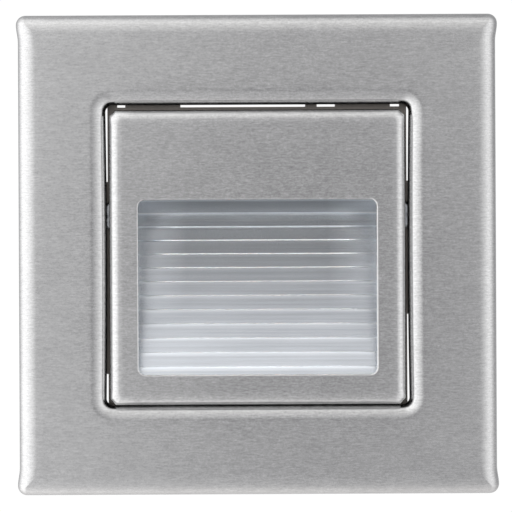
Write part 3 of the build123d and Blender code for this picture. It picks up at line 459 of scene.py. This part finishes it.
def metal(name, color, roughness, grain, vary=0.08, rough_vary=0.06, bump=2e-6):
    """A metal whose grain has its own scale along each axis, with softer mottling over it."""
    mat, tree, bsdf = shader(name)
    bsdf.inputs["Metallic"].default_value = 1.0
    fine = noise(tree, grain, detail=3.0, roughness=0.6)
    mottle = noise(tree, (900, 900, 900), detail=5.0, roughness=0.62)
    both = blend(tree, fine, mottle)
    color_value = between(tree, both, shaded(color, 1 - vary), shaded(color, 1 + vary))
    tree.links.new(color_value, bsdf.inputs["Base Color"])
    rough = spread(tree, both, roughness - rough_vary, roughness + rough_vary)
    tree.links.new(rough, bsdf.inputs["Roughness"])
    relief(tree, bsdf, both, bump)
    return mat


def brushed_steel():
    """Fine level grain over a slightly mottled satin surface."""
    mat, tree, bsdf = shader("satin_stainless")
    bsdf.inputs["Metallic"].default_value = 1.0
    streaks = noise(tree, (700, 700, 3800), detail=2.0, roughness=0.7)
    grit = noise(tree, (2600, 2600, 3600), detail=2.0, roughness=0.8)
    clouds = noise(tree, (110, 110, 160), detail=5.0, roughness=0.6)
    fine = blend(tree, streaks, grit, 0.5)
    both = blend(tree, fine, clouds, 0.15)
    tree.links.new(between(tree, both, (0.47, 0.47, 0.47), (0.73, 0.73, 0.73)), bsdf.inputs["Base Color"])
    tree.links.new(spread(tree, both, 0.18, 0.26), bsdf.inputs["Roughness"])
    relief(tree, bsdf, fine, 4.5e-7)
    return mat


def drawn_aluminium_painted_light():
    """Fine level lines, with painted light in the colour: painted shade that deepens it upwards, a painted
    highlight on the brows of the upper ribs and painted light at their ends.
    """
    mat, tree, bsdf = shader("satin_aluminium")
    bsdf.inputs["Metallic"].default_value = 1.0
    lines = noise(tree, (30, 2600, 2600), detail=2.0)
    clouds = noise(tree, (90, 220, 220), detail=3.0)
    both = blend(tree, lines, clouds, 0.35)
    color = between(tree, both, (0.80, 0.835, 0.88), (0.90, 0.94, 0.99))
    split = tree.nodes.new("ShaderNodeSeparateXYZ")
    tree.links.new(object_coordinates(tree, (1, 1, 1)), split.inputs[0])
    height = split.outputs["Z"]
    aside = math_node(tree, "ABSOLUTE", split.outputs["X"])
    above_foot = math_node(tree, "SUBTRACT", height, REFLECTOR_FOOT[1] * MM)
    up_the_rib = math_node(tree, "FRACT", math_node(tree, "DIVIDE", above_foot, RIB_PITCH * MM))
    # Painted highlight: the brow at the top of each rib's pitch is made lighter on the upper ribs, fading in
    # from z = -4 mm to z = 8 mm
    painted_brow_highlight_mask = spread(tree, up_the_rib, 0.0, 1.0, 0.78, 0.97)
    # Painted light: the ends of the upper ribs, 13 to 21 mm from the middle, are made lighter where the
    # chamber's sides shade them
    painted_end_light_mask = spread(tree, aside, 0.0, 0.7, 0.013, 0.021)
    edges = math_node(tree, "MULTIPLY", painted_brow_highlight_mask, spread(tree, height, 0.0, 1.2, -0.004, 0.008))
    ends = math_node(tree, "MULTIPLY", painted_end_light_mask, spread(tree, height, 0.0, 1.0, -0.012, 0.002))
    painted_light_factor = math_node(tree, "ADD", math_node(tree, "ADD", edges, ends), 1.0)
    # Painted shade: the colour darkens from 1.08 at z = -22 mm to 0.38 at z = 1 mm, where the recess is deep,
    # then lifts by 0.12 from 3 to 9 mm
    painted_upper_shade = spread(tree, height, 1.08, 0.38, -0.022, 0.001)
    tone = math_node(tree, "ADD", painted_upper_shade, spread(tree, height, 0.0, 0.12, 0.003, 0.009))
    tree.links.new(scaled(tree, color, math_node(tree, "MULTIPLY", tone, painted_light_factor)), bsdf.inputs["Base Color"])
    tree.links.new(spread(tree, both, 0.20, 0.27), bsdf.inputs["Roughness"])
    relief(tree, bsdf, lines, 1.5e-7)
    return mat


def plastic(name, color, roughness, grain=2500, vary=0.06, bump=1e-5, coat=0.0, subsurface=0.0, glow=0.0):
    """Moulded plastic with a fine texture and slow changes of tone."""
    mat, tree, bsdf = shader(name)
    bsdf.inputs["Emission Color"].default_value = (1.0, 0.98, 0.95, 1)
    bsdf.inputs["Emission Strength"].default_value = glow
    bsdf.inputs["Coat Weight"].default_value = coat
    bsdf.inputs["Subsurface Weight"].default_value = subsurface
    slow = noise(tree, (70, 70, 70), detail=3.0)
    fine = noise(tree, (grain, grain, grain), detail=2.0)
    tone = between(tree, blend(tree, slow, fine, 0.35), shaded(color, 1 - vary), shaded(color, 1 + vary))
    tree.links.new(tone, bsdf.inputs["Base Color"])
    tree.links.new(spread(tree, slow, roughness - 0.05, roughness + 0.05), bsdf.inputs["Roughness"])
    relief(tree, bsdf, fine, bump)
    return mat


# The other finishes by slot. A grain is in cycles per metre, a bump's height in metres.
METALS = {
    "galvanised_sheet": dict(color=(0.40, 0.37, 0.34), roughness=0.38, grain=(420, 420, 420),
                             vary=0.16, rough_vary=0.10, bump=3e-6),
    "spring_steel": dict(color=(0.30, 0.29, 0.275), roughness=0.30, grain=(300, 3000, 3000)),
    "zinc_plated": dict(color=(0.70, 0.72, 0.75), roughness=0.22, grain=(3000, 3000, 3000), vary=0.06),
    "plain_brass": dict(color=(0.72, 0.54, 0.26), roughness=0.30, grain=(3000, 600, 3000), vary=0.10),
    "copper_strip": dict(color=(0.75, 0.42, 0.28), roughness=0.30, grain=(300, 3000, 3000), vary=0.10),
    "copper_wire": dict(color=(0.62, 0.27, 0.12), roughness=0.28, grain=(300, 2600, 300),
                        vary=0.25, rough_vary=0.05, bump=6e-5),
    "plain_aluminium": dict(color=(0.78, 0.78, 0.79), roughness=0.34, grain=(120, 3500, 3500), vary=0.06),
}
PLASTICS = {
    "ferrite": dict(color=(0.055, 0.055, 0.06), roughness=0.45, grain=1800, vary=0.2, bump=2e-5),
    "black_plastic": dict(color=(0.024, 0.020, 0.018), roughness=0.48),
    "grey_plastic": dict(color=(0.055, 0.058, 0.062), roughness=0.46),
    "chamber_plastic": dict(color=(0.80, 0.82, 0.84), roughness=0.40),
    "foam_rubber": dict(color=(0.022, 0.022, 0.023), roughness=0.9, grain=3500, vary=0.3, bump=1.2e-4),
    "orange_plastic": dict(color=(0.78, 0.20, 0.03), roughness=0.32),
    "polyester_sheet": dict(color=(0.72, 0.71, 0.66), roughness=0.35, grain=900),
    "frosted_lens": dict(color=(0.85, 0.85, 0.82), roughness=0.55, grain=4000, vary=0.02,
                         subsurface=0.4, glow=4.4),
    "white_board": dict(color=(0.80, 0.80, 0.78), roughness=0.35, grain=1200, vary=0.03),
    "led_phosphor": dict(color=(0.85, 0.62, 0.12), roughness=0.25, grain=6000, vary=0.05),
    "thermal_rubber": dict(color=(0.34, 0.42, 0.50), roughness=0.7, vary=0.12),
    "red_wire": dict(color=(0.42, 0.02, 0.015), roughness=0.40, grain=900),
    "black_wire": dict(color=(0.015, 0.015, 0.016), roughness=0.40, grain=900),
    "white_nylon": dict(color=(0.76, 0.74, 0.68), roughness=0.42),
    "green_board": dict(color=(0.012, 0.11, 0.045), roughness=0.30, grain=700, vary=0.25,
                        bump=2e-5, coat=0.4),
    "black_sleeve": dict(color=(0.02, 0.02, 0.03), roughness=0.28, grain=900, vary=0.15, bump=6e-6, coat=0.5),
    "film_case": dict(color=(0.45, 0.05, 0.02), roughness=0.30, grain=900),
    "black_epoxy": dict(color=(0.016, 0.016, 0.017), roughness=0.5, grain=3500, vary=0.15),
    "resistor_lacquer": dict(color=(0.13, 0.24, 0.18), roughness=0.35, grain=1200, vary=0.1,
                             bump=2e-5, coat=0.3),
    "varistor_coat": dict(color=(0.02, 0.06, 0.30), roughness=0.32, grain=900, vary=0.1, bump=3e-5, coat=0.4),
    "terminal_plastic": dict(color=(0.62, 0.62, 0.60), roughness=0.40),
}


def make_materials():
    """One finish for each of the record's material slots."""
    made = {"satin_stainless": brushed_steel(), "satin_aluminium": drawn_aluminium_painted_light()}
    made.update((slot, metal(slot, **finish)) for slot, finish in METALS.items())
    made.update((slot, plastic(slot, **finish)) for slot, finish in PLASTICS.items())
    return made


# ---- Assembly ----
def dress_nodes(materials):
    """Every CAD node gets the finish of its slot."""
    for subpart in frame["record"]["subparts"]:
        node = frame["nodes"][subpart["node"]]
        node.data.materials.clear()
        node.data.materials.append(materials[subpart["material_slot"]])


def place(piece, body, slot, material, node):
    """Puts a piece in a CAD node's place, with its body and finish. The slot is not used."""
    piece.data.materials.append(material)
    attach(piece, body)
    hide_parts(node)


# ---- Studio and camera ----
# Each part of the light tent: axis, side, strength, power, fade over Y from and to, its two shares, tint.
# The last part takes light away in a small spot straight ahead.
TENT_BASE = (0.47, 0.47, 0.48)
TENT = (
    ("X", -1.0, 1.25, 0.66, -0.2, 1.1, 1.0, 0.0, (1.0, 1.0, 1.0)),
    ("X", 1.0, 0.92, 1.15, -0.6, 0.5, 1.0, 0.0, (1.0, 1.0, 1.0)),
    ("Z", 1.0, 0.60, 1.0, -0.98, 0.35, 1.0, 0.0, (1.0, 0.985, 0.955)),
    ("Z", -1.0, 0.48, 0.8, -0.95, 0.4, 0.2, 1.0, (1.0, 0.965, 0.94)),
    ("Y", -1.0, -0.36, 1.0, -0.9998, -0.9950, 1.0, 0.0, (1.0, 1.0, 1.0)),
)
WALL_LOOK = (0.0, 0.72)  # its grey and its glow
STUDIO_LOOKS = {"backdrop": (0.0, 1.0), "floor": (0.8, 0.0)}
CAMERA_AT = (-0.00026, -0.400, -0.00028)  # metres
CAMERA_ROLL = 0.27  # degrees
VIEW_DISTANCE = 391.0  # millimetres from the camera to the frame's face
VIEW_HALF_WIDTH = 45.61  # millimetres that it sees there, from the middle of its view to a side


def studio_plane(name, corners, grey, glow):
    """One plane of the studio, with its grey and its glow."""
    mesh = bpy.data.meshes.new(name)
    mesh.from_pydata(corners, [], [(0, 1, 2, 3)])
    plane = bpy.data.objects.new(name, mesh)
    bpy.context.collection.objects.link(plane)
    mat, _, bsdf = shader(name)
    bsdf.inputs["Base Color"].default_value = (grey, grey, grey, 1)
    bsdf.inputs["Roughness"].default_value = 0.9
    bsdf.inputs["Emission Color"].default_value = (1, 1, 1, 1)
    bsdf.inputs["Emission Strength"].default_value = glow
    mesh.materials.append(mat)
    return plane


def softbox(name, place_at, aim, size, power):
    """A rectangular area light, aimed at a point."""
    data = bpy.data.lights.new(name, "AREA")
    data.shape = "RECTANGLE"
    data.size, data.size_y = size
    data.energy = power
    light = bpy.data.objects.new(name, data)
    light.location = place_at
    light.rotation_euler = (Vector(aim) - Vector(place_at)).to_track_quat("-Z", "Y").to_euler()
    bpy.context.collection.objects.link(light)


def world_light():
    """A soft light tent: brightest at the left, dimmer at the right, above and below."""
    world = bpy.data.worlds.new("room")
    bpy.context.scene.world = world
    world.use_nodes = True
    tree = world.node_tree
    coordinates = tree.nodes.new("ShaderNodeTexCoord")
    split = tree.nodes.new("ShaderNodeSeparateXYZ")
    tree.links.new(coordinates.outputs["Generated"], split.inputs[0])
    total = TENT_BASE
    for axis, side, strength, power, near, far, start, end, tint in TENT:
        reach = math_node(tree, "MAXIMUM", math_node(tree, "MULTIPLY", split.outputs[axis], side), 0.0)
        amount = math_node(tree, "MULTIPLY", math_node(tree, "POWER", reach, power), strength)
        fade = spread(tree, split.outputs["Y"], start, end, near, far, "SMOOTHSTEP")
        add = tree.nodes.new("ShaderNodeVectorMath")
        add.operation = "ADD"
        feed(tree, add.inputs[0], scaled(tree, tint, math_node(tree, "MULTIPLY", amount, fade)))
        feed(tree, add.inputs[1], total)
        total = add.outputs[0]
    tree.links.new(total, tree.nodes["Background"].inputs["Color"])


def build_studio():
    """A white backdrop, pale walls and ceiling, a pale floor, and the light tent."""
    wide, low, high, back = 3.0, -1.0, 3.0, 0.9
    floor = [(-wide, -wide, low), (wide, -wide, low), (wide, back, low), (-wide, back, low)]
    ceiling = [(x, y, high) for x, y, _ in floor]
    planes = {"floor": floor, "ceiling": ceiling}
    sides = (("backdrop", 3, 2), ("left_wall", 0, 3), ("right_wall", 1, 2), ("front_wall", 0, 1))
    for name, start, end in sides:
        planes[name] = [floor[start], floor[end], ceiling[end], ceiling[start]]
    for name, corners in planes.items():
        plane = studio_plane(name, corners, *STUDIO_LOOKS.get(name, WALL_LOOK))
        # The light tent is what the object mirrors, and of the planes only the floor lights or shades it
        plane.visible_glossy = False
        if name != "floor":
            plane.visible_diffuse = False
            plane.visible_shadow = False
    world_light()
    softbox("top_box", (0, -0.3, 0.95), (0, 0, 0), (1.2, 0.7), 0.5)


def build_camera():
    """Straight at the front, a little left of and below its middle, turned slightly."""
    data = bpy.data.cameras.new("camera")
    data.angle = 2 * math.atan(VIEW_HALF_WIDTH / VIEW_DISTANCE)
    data.clip_start = 0.01
    camera = bpy.data.objects.new("camera", data)
    camera.location = CAMERA_AT
    camera.rotation_euler = (math.radians(90), math.radians(CAMERA_ROLL), 0)
    bpy.context.collection.objects.link(camera)
    bpy.context.scene.camera = camera


materials = make_materials()
dress_nodes(materials)
place(build_frame_cover(), "frame", "satin_stainless", materials["satin_stainless"], "frame_cover")
place(build_center_cover(), "cover", "satin_stainless", materials["satin_stainless"], "center_cover")
place(build_reflector(), "base", "satin_aluminium", materials["satin_aluminium"], "reflector")
build_studio()
build_camera()
bpy.context.scene.view_settings.view_transform = "Standard"
